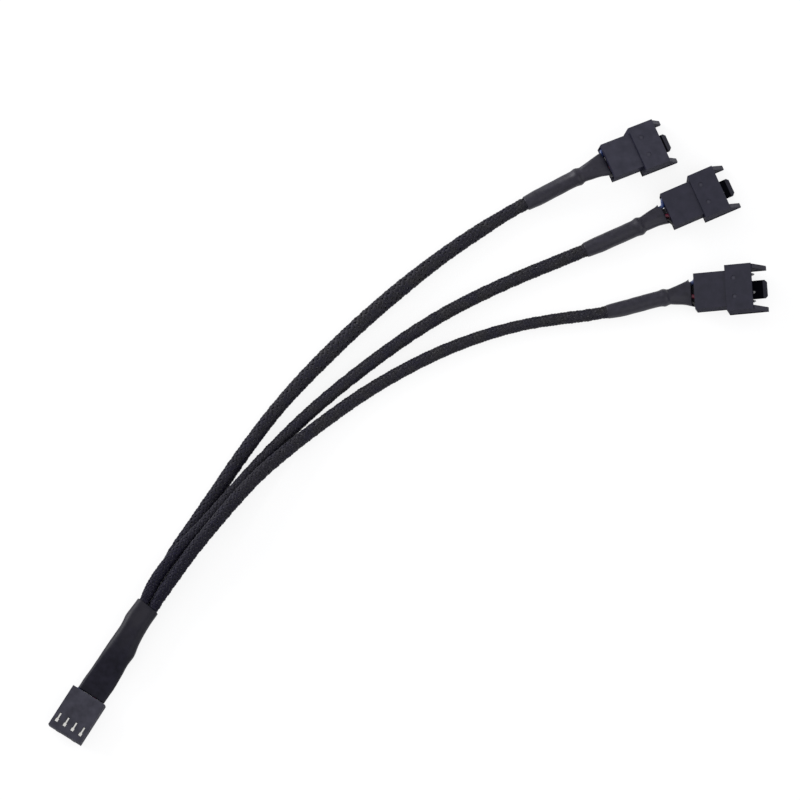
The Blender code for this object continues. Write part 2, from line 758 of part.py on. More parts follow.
def build_branch_shrink(number, branch, route, rear, sleeve_radius, stations):
    """Heat shrink from the sleeve onto the fanned wires, with a ridge over the sleeve's end."""
    start = rear - SHRINK_SETBACK - SHRINK_LENGTH
    sleeve_end, mouth = stations[-1], rear - SHRINK_SETBACK
    ridge_start, ridge_end = sleeve_end - RIDGE_START, sleeve_end + RIDGE_END
    middle = [s for s in stations if start + RIDGE_START < s < ridge_start - RIDGE_END]
    bare = fan_stations(sleeve_end, mouth)
    inner, outer = [], []
    for distance in [start] + middle + [ridge_start, ridge_end] + bare:
        place = route.frame(distance)
        circles = [(0.0, 0.0, sleeve_radius(distance))]
        if distance in bare:
            t = (distance - bare[0]) / (mouth - bare[0])
            wire = WIRE_DIAMETER / 2.0
            skin = SHRINK_WALL + SHRINK_CLEARANCE
            wide = NECK_HALF_WIDTH + (branch["mouth_half_width"] - NECK_HALF_WIDTH) * t
            crown = (NECK_HALF_HEIGHT - skin) * (1.0 - t * t) + wire * t * t
            shift = branch["mouth_offset"] * t
            slack = NECK_SLACK if distance < mouth else 0.0
            circles = [
                (*wire_place(branch, circuit, rear, distance), wire + slack) for circuit in branch["circuits"]
            ]
            circles += [(shift + side * (wide - skin - wire), 0.0, wire) for side in (-1.0, 1.0)]
            circles.append((shift, 0.0, crown))
        ridge = RIDGE_HEIGHT if distance == ridge_end else 0.0
        inner.append(ring_in(place, hug(circles, SHRINK_CLEARANCE)))
        outer.append(ring_in(place, hug(circles, SHRINK_CLEARANCE + SHRINK_WALL + ridge)))
    name = f"branch_{number}_heat_shrink"
    finish(add_object(name, loft(name, outer, inner)), "shrink")


def main():
    clear_scene()
    plug = placement(PLUG_REAR, 0.0, PLUG_HEADING)
    junction = placement(to_world(plug, (0.0, JUNCTION_SHIFT, 0.0)), 0.0, JUNCTION_HEADING)
    build_plug_housing(plug)
    for circuit in CIRCUITS:
        build_plug_contact(plug, circuit)
    build_pigtails(plug)
    build_junction(junction)
    for number, branch in enumerate(BRANCHES, start=1):
        build_branch(number, branch, junction)


main()
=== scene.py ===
"""Looks of the fan splitter cable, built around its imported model. Lengths are in metres."""

import math

import bmesh
import bpy
import numpy as np
from mathutils import Matrix, Vector, noise


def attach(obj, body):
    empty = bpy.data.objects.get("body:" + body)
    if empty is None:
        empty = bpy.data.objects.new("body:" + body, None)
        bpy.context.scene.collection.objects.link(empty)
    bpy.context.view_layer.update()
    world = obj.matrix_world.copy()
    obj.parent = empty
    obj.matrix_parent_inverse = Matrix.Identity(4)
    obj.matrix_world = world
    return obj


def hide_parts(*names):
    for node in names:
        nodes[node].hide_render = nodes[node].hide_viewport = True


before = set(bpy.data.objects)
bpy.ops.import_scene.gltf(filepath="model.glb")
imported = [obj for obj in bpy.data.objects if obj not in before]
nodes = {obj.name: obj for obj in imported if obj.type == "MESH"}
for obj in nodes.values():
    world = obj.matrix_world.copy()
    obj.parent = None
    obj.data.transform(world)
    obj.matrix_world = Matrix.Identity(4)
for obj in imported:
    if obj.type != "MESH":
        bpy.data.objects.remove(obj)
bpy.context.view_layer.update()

MM = 0.001
CIRCUIT_PITCH = 0.00254
CIRCUITS = ("gnd", "power", "tach", "pwm")
ROW_MIDDLE = (len(CIRCUITS) - 1) / 2.0
GAP = 0.0003

# The cable as the solids have it
WIRE_DIAMETER = 0.0011
WIRE_SPACING = 0.00117
SHRINK_WALL = 0.0003
SHRINK_CLEARANCE = 0.0001
PLUG_REAR = (-0.0885, -0.0743)
PLUG_HEADING = 238.0
PLUG_AXIS_HEIGHT = 0.00335
JUNCTION_HEADING = PLUG_HEADING - 180.0
JUNCTION_SHIFT = 0.00045
JUNCTION_END = 0.0283
SPLICE_START = 0.006
SPLICE_END = 0.016
BRANCH_START = 0.0163
SLEEVE_START = 0.0245
SLEEVE_LEAD = 0.002
PIGTAIL_SQUEEZE = 0.89
LOW_SLEEVE_HEIGHT = 0.00216
HIGH_SLEEVE_HEIGHT = 0.0051
HIGH_SLEEVE_OFFSET = 0.00156
BODY_LENGTH = 0.0089
BODY_BOTTOM = 0.0009
PORT_AXIS_HEIGHT = 0.00355
SHROUD_END = 0.0163
GUARD_TIP = 0.0198
PIN_TAIL_START = 0.0024
EJECTOR_PLACE = (0.0113, 0.00265)
EJECTOR_RADIUS = 0.00075
SHRINK_LENGTH = 0.024
SHRINK_SETBACK = 0.0013
SLEEVE_SETBACK = 0.0086

# Each branch: its route from the junction outward, as the solids have it, the radius of
# the drawn sleeve by distance from the junction, the port's place, the shape of the shrink's
# mouth, and the port's dark and light tones
BRANCHES = (
    {
        "circuits": ("gnd", "power", "tach", "pwm"),
        "junction_place": (0.0, LOW_SLEEVE_HEIGHT),
        "route": (
            (-0.0698, -0.043, 0.00205), (-0.0661, -0.0352, 0.00205), (-0.0601, -0.0262, 0.0021),
            (-0.054, -0.0172, 0.00215), (-0.0481, -0.0083, 0.0022), (-0.0369, 0.0068, 0.0023),
            (-0.0229, 0.022, 0.0024), (-0.0035, 0.0399, 0.0024), (0.008, 0.0491, 0.0024),
            (0.0191, 0.0569, 0.0023), (0.03, 0.0636, 0.0026), (0.0356, 0.0664, 0.00295),
            (0.0412, 0.0692, 0.0039), (0.0471, 0.0719, 0.0056),
        ),
        "sleeve_radii": (
            (0.0, 0.00175), (0.01, 0.00193), (0.04, 0.00208), (0.065, 0.00206), (0.088, 0.0023),
            (0.115, 0.00232), (0.132, 0.00213), (0.142, 0.0021), (0.152, 0.00188), (0.26, 0.0018),
        ),
        "rear": (0.0537, 0.07485),
        "heading": 23.5,
        "pitch": -8.5,
        "approach": 0.002,
        "mouth_half_width": 0.0033,
        "skin_setback": 0.00012,
        "entry_inset": 0.001,
        "top_lip_back": 0.0,
        "left_lip_back": 0.0003,
        "left_lip_from": 0.5,
        "mouth_offset": 0.0,
        "braid_pitch": 0.0165,
        # Port nylon tones: lighter and darker copies of one nylon from port to port, as painted light and
        # shade
        "nylon": ((0.017, 0.017, 0.031), (0.029, 0.028, 0.047)),
    },
    {
        "circuits": ("gnd", "power", "pwm"),
        "junction_place": (HIGH_SLEEVE_OFFSET, HIGH_SLEEVE_HEIGHT),
        "route": (
            (-0.0705, -0.0424, 0.0056), (-0.0674, -0.038, 0.0058), (-0.0622, -0.032, 0.00565),
            (-0.0572, -0.0266, 0.0052), (-0.0501, -0.0183, 0.0041), (-0.0436, -0.0106, 0.0026),
            (-0.0394, -0.006, 0.00215), (-0.0312, 0.0024, 0.0021), (-0.0145, 0.0168, 0.0021),
            (0.0077, 0.0324, 0.0021), (0.03, 0.0436, 0.0021), (0.041, 0.0482, 0.0022),
            (0.0495, 0.0517, 0.00255), (0.0579, 0.0554, 0.0029), (0.0642, 0.0583, 0.0033),
        ),
        "sleeve_radii": (
            (0.0, 0.0015), (0.007, 0.0018), (0.06, 0.0019), (0.12, 0.00195), (0.26, 0.0019),
        ),
        "rear": (0.0712, 0.06195),
        "heading": 23.5,
        "pitch": 1.0,
        "approach": 0.003,
        "mouth_half_width": 0.00292,
        "skin_setback": 0.00015,
        "entry_inset": 0.00045,
        "top_lip_back": 0.0009,
        "left_lip_back": 0.0016,
        "left_lip_from": 0.45,
        "mouth_offset": -0.0002,
        "braid_pitch": 0.0145,
        "nylon": ((0.011, 0.011, 0.023), (0.018, 0.017, 0.033)),
    },
    {
        "circuits": ("gnd", "power", "pwm"),
        "junction_place": (-HIGH_SLEEVE_OFFSET, HIGH_SLEEVE_HEIGHT),
        "route": (
            (-0.0691, -0.0468, 0.00595), (-0.0662, -0.0427, 0.0065), (-0.0606, -0.035, 0.0077),
            (-0.0549, -0.0279, 0.0084), (-0.0495, -0.0213, 0.0078), (-0.0432, -0.0141, 0.0066),
            (-0.0352, -0.0065, 0.00475), (-0.0297, -0.0018, 0.00365), (-0.0238, 0.0029, 0.0027),
            (-0.0144, 0.0098, 0.0021), (-0.0033, 0.0166, 0.00205), (0.0077, 0.0222, 0.002),
            (0.0188, 0.0266, 0.00195), (0.03, 0.0298, 0.00195), (0.041, 0.0317, 0.0021),
            (0.0497, 0.0328, 0.0024), (0.0576, 0.0343, 0.00255), (0.0632, 0.0358, 0.0026),
            (0.0694, 0.03745, 0.00255), (0.0732, 0.0382, 0.00225),
        ),
        "sleeve_radii": (
            (0.0, 0.0015), (0.007, 0.00182), (0.04, 0.00192), (0.085, 0.00195), (0.105, 0.00188),
            (0.122, 0.00176), (0.136, 0.00168), (0.148, 0.00178), (0.26, 0.00184),
        ),
        "rear": (0.0795, 0.03895),
        "heading": 3.0,
        "pitch": 11.0,
        "approach": 0.0025,
        "mouth_half_width": 0.0038,
        "skin_setback": 0.00015,
        "entry_inset": 0.00045,
        "top_lip_back": 0.0009,
        "left_lip_back": 0.0016,
        "left_lip_from": 0.7,
        "mouth_offset": 0.0001,
        "braid_pitch": 0.0142,
        "nylon": ((0.009, 0.009, 0.019), (0.015, 0.014, 0.028)),
    },
)

# Braid: sixteen flat carriers, eight each way round, each of three filaments side by side
CARRIERS = 8
STEPS_PER_CROSSING = 4
RIBBON_WIDTH = 0.00108
RIBBON_DROP = 0.00034
RIBBON_WAVE = 0.0001
FILAMENTS = 3
FILAMENT_HEIGHT = 0.0002
FILAMENT_VALLEY = 0.0001
LINER_DEPTH = 0.00046
LINER_SIDES = 24

# Its unevenness: each carrier's width, sideways drift and lift, and the bulges of the whole sleeve
WIDTH_SHARES = (0.93, 1.05)
DRIFT_ANGLE = 0.05
DRIFT_RATES = (150.0, 260.0)
LIFT = 0.00003
LIFT_PERIODS = (0.003, 0.0055)
BULGE = 0.000025
BULGES = 3
BULGE_PERIODS = (0.0021, 0.006)

# Branch wires
WIRE_SIDES = 20
WIRE_STEP = 0.0005
FAN_STEP = WIRE_STEP / 2.5
WIRE_END_GAP = 0.0001
WIRE_SMOOTHING = 5

# Heat shrink skins
SKIN_SIDES = 96
SKIN_RAYS = 720
SKIN_STEP = 0.00035
EDGE_STATIONS = (0.0, 0.00004, 0.0001, 0.00018)
EDGE_SPAN = 0.0004
LIP_ROUND = 0.00012
SKIN_THICKNESS = 0.0004

# How far a skin sinks in where it bridges two wires, as a share of the hollow up to a limit
GROOVE_LIMIT = 0.0006
BRANCH_GROOVE = 0.12
JUNCTION_GROOVE = 0.03

# Unevenness of the skins, as seed, height and size, with a branch's seeds counted from its number
BRANCH_RIPPLES = ((0, 0.00006, 0.0026), (10, 0.00002, 0.0008))
JUNCTION_RIPPLES = ((4, 0.00008, 0.0036), (5, 0.000025, 0.0011))
SEED_STEPS = (7.3, 3.1, 5.7)

# A branch's skin: its thin start, the ridge over the sleeve's end, and the neck past it
START_THICKNESS = 0.00016
START_TAPER = 0.0035
RIDGE_HEIGHT = 0.0003
RIDGE_REACH = 0.0009
RIDGE_SETBACK = 0.0003
NECK_HALF_WIDTH = 0.00215
NECK_HALF_HEIGHT = 0.0018
NECK_DISTANCE = 0.0011

# Its flare: the power by which it flattens, how tight its sides are at the neck, and its mouth's cut
FLARE_POWER = 0.8
NECK_TIGHTNESS = 0.35
MOUTH_CUT_REACH = 0.004
TOP_LIP_HEIGHT = 0.0007
LEFT_LIP_SPAN = 0.15

# Junction's skin, along its axis from the plug
JUNCTION_SKIN_START = 0.0003
JUNCTION_SKIN_END = 0.0293
JUNCTION_END_SLANT = 0.0004
JUNCTION_SLANT_REACH = 0.0035
JUNCTION_LUMP = 0.00012
JUNCTION_LUMP_REACH = 0.005

# Its outline as pairs of distance from the plug and half width, to the left and to the right, and
# where each half width is read around a station to soften the corners
OUTLINE_READS = (-0.001, -0.0005, 0.0, 0.0005, 0.001)
JUNCTION_LEFT = (
    (0.0003, 0.00445), (0.0034, 0.00438), (0.0134, 0.00382), (0.0212, 0.0036), (0.0238, 0.00402),
    (0.0258, 0.0038), (0.0297, 0.00352),
)
JUNCTION_RIGHT = (
    (0.0005, 0.00405), (0.0052, 0.00427), (0.0125, 0.00394), (0.0157, 0.00429), (0.0195, 0.00352),
    (0.0242, 0.00322), (0.0265, 0.00325), (0.0289, 0.00342),
)

# Rounding of the solids that stay, with angles in degrees
MOULDED_EDGE = 0.00014
STAMPED_EDGE = 0.00005
EDGE_SEGMENTS = 3
FLAT_ANGLE = 1.0
EDGE_ANGLE = 35.0
SHARP_ANGLE = 40.0

# Gloss of nylon where it stands upright and where it lies flat, and how far it faces up in each
WALL_GLOSS = 0.005
FLAT_GLOSS = 0.32
GLOSS_FACING = (0.3, 0.8)

# Gloss of the shrinks
BRANCH_SHRINK_GLOSS = 0.34
JUNCTION_SHRINK_GLOSS = 0.17

# Where a port's painted tongue shade and ejector highlights sit, in its own frame, as the start and end
# of each fade
TONGUE_HEIGHTS = (0.0012, 0.0014)
TONGUE_TIP = (0.0186, 0.01875)
EJECTOR_HEIGHTS = (0.0045, 0.005)
EJECTOR_FADE = (0.1 * EJECTOR_RADIUS, 0.9 * EJECTOR_RADIUS)

# Rolling marks of the tin-plated pieces, as the scale of their noise along each axis
ROLLING_STRETCH = (1.0, 9.0, 1.0)

# Where painted light and shade fade along the cable as it lies: the braid's shade along x, the junction's
# light along y
BRAID_SHADE_FADE = (-0.07, -0.02)
JUNCTION_LIGHT_FADE = (-0.0655, -0.0545)

# Colours, as dark and light tones unless one is named alone
PLUG_NYLON = ((0.015, 0.0145, 0.025), (0.034, 0.033, 0.05))
TONGUE_SHADE = (0.002, 0.002, 0.004)
# Painted highlight in the ports' ejector marks
EJECTOR_HIGHLIGHT = (0.036, 0.035, 0.052)
BRANCH_SHRINK = ((0.009, 0.0083, 0.016), (0.0175, 0.016, 0.028))
JUNCTION_SHRINK = ((0.002, 0.0018, 0.0065), (0.0075, 0.0068, 0.0155))
# Painted light on the junction's skin, in hazy patches toward the sleeves
JUNCTION_PAINTED_LIGHT = (0.0165, 0.0155, 0.022)
BRAID_TONE = (0.008, 0.007, 0.012)
# Braid tones, paler and darker at random, with the darker also laid on toward the junction as painted
# shade
PALER_BRAID = ((0.004, 0.0035, 0.006), (0.025, 0.023, 0.028))
DARKER_AND_SHADED_BRAID = ((0.0025, 0.0025, 0.008), (0.012, 0.0105, 0.026))
CORE_TONE = (0.004, 0.004, 0.005)
TAPE_TONE = (0.02, 0.02, 0.022)
HEADER_TIN = ((0.78, 0.77, 0.74), (0.9, 0.89, 0.87))
# Pins' tin, darkened as painted shade inside the port shrouds
SHADED_PIN_TIN = ((0.16, 0.16, 0.17), (0.26, 0.26, 0.27))
WIRE_TONES = {
    "gnd": ((0.007, 0.007, 0.009), (0.012, 0.012, 0.014)),
    "power": ((0.1, 0.011, 0.03), (0.17, 0.018, 0.045)),
    "tach": ((0.38, 0.38, 0.37), (0.5, 0.5, 0.49)),
    "pwm": ((0.013, 0.03, 0.12), (0.02, 0.05, 0.19)),
}

# Stage: the table, the light on it, and the camera
TABLE_REACH = 1.6
TABLE_DROP = 0.00002
TABLE_TONE = (0.86, 0.86, 0.87)
TABLE_SHADE = (0.2, 0.2, 0.205, 1.0)
TABLE_GLOW = 0.83
WORLD_STRENGTH = 0.74
LAMPS = (("key", (-0.85, 0.5, 0.32), 0.7, 9.0), ("fill", (0.6, -0.3, 0.7), 0.9, 2.0))
CAMERA_ELEVATION = 78.8
CAMERA_DISTANCE = 1.5
CAMERA_TARGET = (-0.0034, 0.0091, 0.0)
CAMERA_LENS = 243.0


# Frames, routes and sections


def placement(rear, height, heading, pitch=0.0):
    """Frame of a housing: x forward, y to its left, z up, tilted nose up by pitch degrees."""
    turn = Matrix.Rotation(math.radians(heading), 4, "Z") @ Matrix.Rotation(-math.radians(pitch), 4, "Y")
    return Matrix.Translation(Vector((rear[0], rear[1], height))) @ turn


def port_frame(branch):
    """A port's frame, lowered until its lowest corner meets the table."""
    level = placement(branch["rear"], 0.0, branch["heading"], branch["pitch"])
    corners = (
        (0.0, 0.0, BODY_BOTTOM), (BODY_LENGTH, 0.0, 0.0), (SHROUD_END, 0.0, 0.0), (GUARD_TIP, 0.0, 0.0),
    )
    lowest = min((level @ Vector(corner)).z for corner in corners)
    return placement(branch["rear"], -lowest, branch["heading"], branch["pitch"])


def smooth_curve(points, steps=16):
    """Dense places on a smooth curve through the points, with slopes that suit their spacing."""
    points = [Vector(p) for p in points]
    spans = [(b - a).length for a, b in zip(points, points[1:])]
    slopes = [(points[1] - points[0]) / spans[0]]
    for k in range(1, len(points) - 1):
        before = (points[k] - points[k - 1]) / spans[k - 1]
        after = (points[k + 1] - points[k]) / spans[k]
        slopes.append((before * spans[k] + after * spans[k - 1]) / (spans[k - 1] + spans[k]))
    slopes.append((points[-1] - points[-2]) / spans[-1])
    dense = [points[0]]
    for k, span in enumerate(spans):
        for step in range(1, steps + 1):
            t = step / steps
            start = (1.0 + 2.0 * t) * (1.0 - t) ** 2 * points[k] + t * (1.0 - t) ** 2 * span * slopes[k]
            end = t * t * (3.0 - 2.0 * t) * points[k + 1] - t * t * (1.0 - t) * span * slopes[k + 1]
            dense.append(start + end)
    return dense


class Route:
    """A centre line with its distances, read at any distance from its start."""

    def __init__(self, points):
        self.places = np.array(smooth_curve(points))
        spans = np.linalg.norm(np.diff(self.places, axis=0), axis=1)
        self.distances = np.concatenate(([0.0], np.cumsum(spans)))
        self.length = float(self.distances[-1])

    def at(self, distance):
        """Places at one distance or an array of them."""
        columns = [np.interp(distance, self.distances, self.places[:, axis]) for axis in range(3)]
        return np.stack(columns, axis=-1)

    def frames(self, distances):
        """Centres, lefts and ups at an array of distances, across the line."""
        reach = 0.4 * MM
        forward = self.at(distances + reach) - self.at(distances - reach)
        forward /= np.linalg.norm(forward, axis=-1, keepdims=True)
        left = np.cross(np.array((0.0, 0.0, 1.0)), forward)
        left /= np.linalg.norm(left, axis=-1, keepdims=True)
        return self.at(distances), left, np.cross(forward, left)


def branch_route(branch, junction, port):
    """Centre line from the splices to the port's cavities."""
    across, height = branch["junction_place"]
    in_junction = (BRANCH_START, SLEEVE_START - SLEEVE_LEAD, JUNCTION_END)
    start = [junction @ Vector((x, across, height)) for x in in_junction]
    at_port = (-branch["approach"], 0.0, PIN_TAIL_START - GAP)
    end = [port @ Vector((x, 0.0, PORT_AXIS_HEIGHT)) for x in at_port]
    return Route(start + [Vector(p) for p in branch["route"]] + end)


def read_table(table, value):
    """Value between the pairs of a short table, eased from one to the next."""
    places = [place for place, _ in table]
    value = np.clip(value, places[0], places[-1])
    k = np.clip(np.searchsorted(places, value, side="left"), 1, len(table) - 1)
    low, high = np.array(places)[k - 1], np.array(places)[k]
    held = np.array([amount for _, amount in table])
    t = (value - low) / (high - low)
    return held[k - 1] + (held[k] - held[k - 1]) * t * t * (3.0 - 2.0 * t)


def sleeve_radius(branch, distance):
    """Radius of a branch's drawn sleeve at a distance from the splices."""
    return read_table(branch["sleeve_radii"], distance - (JUNCTION_END - BRANCH_START))


def circuit_offset(circuit):
    """How far a circuit's cavity lies to the left of the middle of the row."""
    return (CIRCUITS.index(circuit) - ROW_MIDDLE) * CIRCUIT_PITCH


def bundle_places(circuits):
    """Places of a branch's wires inside its sleeve, as across and up."""
    half = WIRE_SPACING / 2.0
    if len(circuits) == 4:
        return {"pwm": (half, half), "tach": (half, -half), "power": (-half, half), "gnd": (-half, -half)}
    reach = WIRE_SPACING / math.sqrt(3.0)
    return {"pwm": (half, -reach / 2.0), "gnd": (-half, -reach / 2.0), "power": (0.0, reach)}


def wire_place(branch, circuit, rear, distance):
    """Place of one wire across its branch: bundled in the sleeve, then fanned out to its cavity."""
    bundled = bundle_places(branch["circuits"])[circuit]
    fan_start, mouth = rear - SLEEVE_SETBACK, rear - branch["skin_setback"]
    if distance <= fan_start:
        return bundled
    row_edge = branch["mouth_half_width"] - START_THICKNESS - WIRE_DIAMETER / 2.0
    squeeze = row_edge / (ROW_MIDDLE * CIRCUIT_PITCH)
    across = circuit_offset(circuit)
    row = across * squeeze + branch["mouth_offset"]
    if distance <= mouth:
        t = (distance - fan_start) / (mouth - fan_start)
        return bundled[0] + (row - bundled[0]) * t, bundled[1] * (1.0 - t * t)
    if distance <= rear:
        entry = math.copysign(abs(across) - branch["entry_inset"], across)
        t = (distance - mouth) / (rear - mouth)
        return row + (entry - row) * t, 0.0
    return across, 0.0


def skin_outline(circles, margin, groove):
    """Outline that shrunk plastic takes round circles (across, up, radius), evenly spaced. Where it
    bridges two of them it sinks in, by the given share of the hollow under it."""
    angles = math.tau * (np.arange(SKIN_RAYS) + 0.5) / SKIN_RAYS
    rays = np.stack((np.cos(angles), np.sin(angles)), axis=-1)
    centres = np.array([(c[0], c[1]) for c in circles])
    radii = np.array([c[2] for c in circles])
    held = np.argmax(rays @ centres.T + radii, axis=1)
    tight = centres[held] + rays * (radii[held] + margin)[:, None]
    closed = np.concatenate((tight, tight[:1]))
    walked = np.concatenate(([0.0], np.cumsum(np.linalg.norm(np.diff(closed, axis=0), axis=1))))
    marks = walked[-1] * np.arange(SKIN_SIDES) / SKIN_SIDES
    outline = np.stack([np.interp(marks, walked, closed[:, axis]) for axis in range(2)], axis=-1)
    ahead = np.roll(outline, -1, axis=0) - np.roll(outline, 1, axis=0)
    outward = np.stack((ahead[:, 1], -ahead[:, 0]), axis=-1)
    outward /= np.linalg.norm(outward, axis=-1, keepdims=True)
    hollow = np.linalg.norm(outline[:, None] - centres[None], axis=-1) - radii[None]
    bridged = np.clip(hollow.min(axis=1) - margin, 0.0, GROOVE_LIMIT)
    return outline - outward * (bridged * groove)[:, None]


# Meshes


def add_object(name, data):
    """New object with its mesh, lamp or camera, linked to the scene."""
    item = bpy.data.objects.new(name, data)
    bpy.context.collection.objects.link(item)
    return item


def add_quads(name, vertices, quads, materials, slots=None):
    """Large quad mesh from arrays, smooth, pressed flat where it would go under the table, with
    a material number for each face."""
    vertices = np.array(vertices, np.float32)
    vertices[:, 2] = np.maximum(vertices[:, 2], 0.0)
    mesh = bpy.data.meshes.new(name)
    mesh.vertices.add(len(vertices))
    mesh.vertices.foreach_set("co", vertices.ravel())
    mesh.loops.add(quads.size)
    mesh.loops.foreach_set("vertex_index", quads.astype(np.int32).ravel())
    mesh.polygons.add(len(quads))
    mesh.polygons.foreach_set("loop_start", np.arange(0, quads.size, 4, dtype=np.int32))
    for material in materials:
        mesh.materials.append(material)
    if slots is not None:
        mesh.polygons.foreach_set("material_index", slots.astype(np.int32))
    mesh.update(calc_edges=True)
    mesh.validate()
    mesh.shade_smooth()
    return add_object(name, mesh)


def tube_quads(rows, columns, closed_rows=False):
    """Quads of a grid of vertices whose columns close on themselves."""
    spans = rows if closed_rows else rows - 1
    row, column = np.meshgrid(np.arange(spans), np.arange(columns), indexing="ij")
    here, ahead = row * columns, (row + 1) % rows * columns
    beside = (column + 1) % columns
    corners = (here + column, here + beside, ahead + beside, ahead + column)
    return np.stack(corners, axis=-1).reshape(-1, 4)


def around_line(centres, lefts, ups, reach, angles):
    """Places at a reach and at angles around each centre, as one list of rows."""
    places = (
        centres[:, None]
        + lefts[:, None] * (reach * np.cos(angles))[..., None]
        + ups[:, None] * (reach * np.sin(angles))[..., None]
    )
    return places.reshape(-1, 3)


# Materials


class Nodes:
    """A new material and short ways to add nodes to it."""

    def __init__(self, name, colour, roughness, **inputs):
        self.material = bpy.data.materials.new(name)
        self.material.use_nodes = True
        self.tree = self.material.node_tree
        self.shader = self.tree.nodes["Principled BSDF"]
        self.shader.inputs["Base Color"].default_value = (*colour, 1.0)
        self.shader.inputs["Roughness"].default_value = roughness
        for label, value in inputs.items():
            self.shader.inputs[label.replace("_", " ")].default_value = value
        self.places = self.tree.nodes.new("ShaderNodeTexCoord").outputs["Object"]

    def add(self, kind, links=None, **settings):
        node = self.tree.nodes.new(kind)
        for label, value in settings.items():
            if label in node.inputs:
                node.inputs[label].default_value = value
            else:
                setattr(node, label, value)
        for label, source in (links or {}).items():
            self.tree.links.new(source, node.inputs[label])
        return node

    def noise(self, size, detail=2.0, roughness=0.5, places=None):
        """Noise whose features are about size metres across."""
        node = self.add(
            "ShaderNodeTexNoise", {"Vector": places or self.places},
            Scale=1.0 / size, Detail=detail, Roughness=roughness,
        )
        return node.outputs["Fac"]

    def mapped(self, source, low, high, start=0.3, end=0.7):
        """Value from low to high while the source goes from start to end."""
        node = self.add("ShaderNodeMapRange", {"Value": source})
        for label, value in (("From Min", start), ("From Max", end), ("To Min", low), ("To Max", high)):
            node.inputs[label].default_value = value
        return node.outputs["Result"]

    def mixed(self, source, first, second):
        """Colour between two by a factor, where each is a plain colour or another node's."""
        node = self.add("ShaderNodeMix", data_type="RGBA")
        self.tree.links.new(source, node.inputs["Factor"])
        sockets = [socket for socket in node.inputs if socket.type == "RGBA"]
        for socket, colour in zip(sockets, (first, second)):
            if isinstance(colour, tuple):
                socket.default_value = (*colour, 1.0)
            else:
                self.tree.links.new(colour, socket)
        return [socket for socket in node.outputs if socket.type == "RGBA"][0]

    def computed(self, operation, *sources):
        """Result of a calculation on one or two other nodes' values."""
        return self.add("ShaderNodeMath", dict(enumerate(sources)), operation=operation).outputs[0]

    def bump(self, source, height, normal=None):
        """Bump of a height in metres, on top of another bump where one is given."""
        links = {"Height": source}
        if normal is not None:
            links["Normal"] = normal
        return self.add("ShaderNodeBump", links, Distance=height).outputs["Normal"]

    def drive(self, label, source):
        self.tree.links.new(source, self.shader.inputs[label])


def housing_material(name, dark, light, port=None):
    """Moulded black nylon: a faint grain, a slow drift in tone, and matt where it stands upright.
    A fan port's has painted shade on its tongue, short of the tip, and painted highlights in its two
    ejector marks."""
    m = Nodes(name, dark, 0.42, Specular_IOR_Level=FLAT_GLOSS)
    facing = m.add("ShaderNodeSeparateXYZ", {"Vector": m.add("ShaderNodeNewGeometry").outputs["Normal"]})
    upward = m.computed("ABSOLUTE", facing.outputs["Z"])
    gloss = m.mapped(upward, WALL_GLOSS, FLAT_GLOSS, *GLOSS_FACING)
    drift = m.noise(2.2 * MM, detail=3.0)
    colour = m.mixed(m.mapped(drift, 0.0, 1.0), dark, light)
    if port is not None:
        inverse = port.inverted()
        within = m.add("ShaderNodeMapping", {"Vector": m.places})
        within.inputs["Location"].default_value = inverse.to_translation()
        within.inputs["Rotation"].default_value = inverse.to_euler()
        local = m.add("ShaderNodeSeparateXYZ", {"Vector": within.outputs["Vector"]}).outputs
        # Painted shade: darker and less glossy on the tongue, short of its tip
        low = m.mapped(local["Z"], 1.0, 0.0, *TONGUE_HEIGHTS)
        behind_tip = m.mapped(local["X"], 1.0, 0.0, *TONGUE_TIP)
        shade = m.computed("MULTIPLY", low, behind_tip)
        gloss = m.computed("MULTIPLY", gloss, m.mapped(shade, 1.0, 0.05, start=0.0, end=1.0))
        colour = m.mixed(shade, colour, TONGUE_SHADE)
        # Painted highlight: paler in the two ejector marks
        across = m.computed("ABSOLUTE", local["Y"])
        flat = m.add("ShaderNodeCombineXYZ", {"X": local["X"], "Y": across}).outputs["Vector"]
        away = m.add("ShaderNodeVectorMath", {0: flat}, operation="DISTANCE")
        away.inputs[1].default_value = (*EJECTOR_PLACE, 0.0)
        near = m.mapped(away.outputs["Value"], 1.0, 0.0, *EJECTOR_FADE)
        ejector_highlight = m.computed("MULTIPLY", near, m.mapped(local["Z"], 0.0, 1.0, *EJECTOR_HEIGHTS))
        colour = m.mixed(ejector_highlight, colour, EJECTOR_HIGHLIGHT)
    m.drive("Specular IOR Level", gloss)
    m.drive("Base Color", colour)
    m.drive("Roughness", m.mapped(m.noise(0.7 * MM, detail=3.0), 0.34, 0.48))
    flow = m.bump(drift, 0.02 * MM)
    m.drive("Normal", m.bump(m.noise(0.09 * MM), 0.006 * MM, normal=flow))
    return m.material


def shrink_material(name, dark, light, gloss, painted_light=None):
    """Black heat shrink: satin, with fine wrinkles and duller patches. The junction's has painted light:
    paler in hazy patches toward the sleeves."""
    m = Nodes(name, dark, 0.44, Specular_IOR_Level=gloss)
    patches = m.noise(1.6 * MM, detail=3.0)
    colour = m.mixed(m.mapped(patches, 0.0, 1.0), dark, light)
    if painted_light is not None:
        # Painted light: paler in hazy patches toward the sleeves, where the light falls on the junction
        along = m.add("ShaderNodeSeparateXYZ", {"Vector": m.places}).outputs["Y"]
        haze = m.mapped(m.noise(5.0 * MM, detail=3.0), 0.3, 1.0, start=0.35, end=0.65)
        haze = m.computed("MULTIPLY", haze, m.mapped(along, 0.0, 1.0, *JUNCTION_LIGHT_FADE))
        colour = m.mixed(haze, colour, painted_light)
    m.drive("Base Color", colour)
    m.drive("Roughness", m.mapped(patches, 0.37, 0.52))
    wrinkles = m.bump(m.noise(0.45 * MM, detail=3.0, roughness=0.6), 0.03 * MM)
    m.drive("Normal", m.bump(m.noise(0.07 * MM), 0.005 * MM, normal=wrinkles))
    return m.material


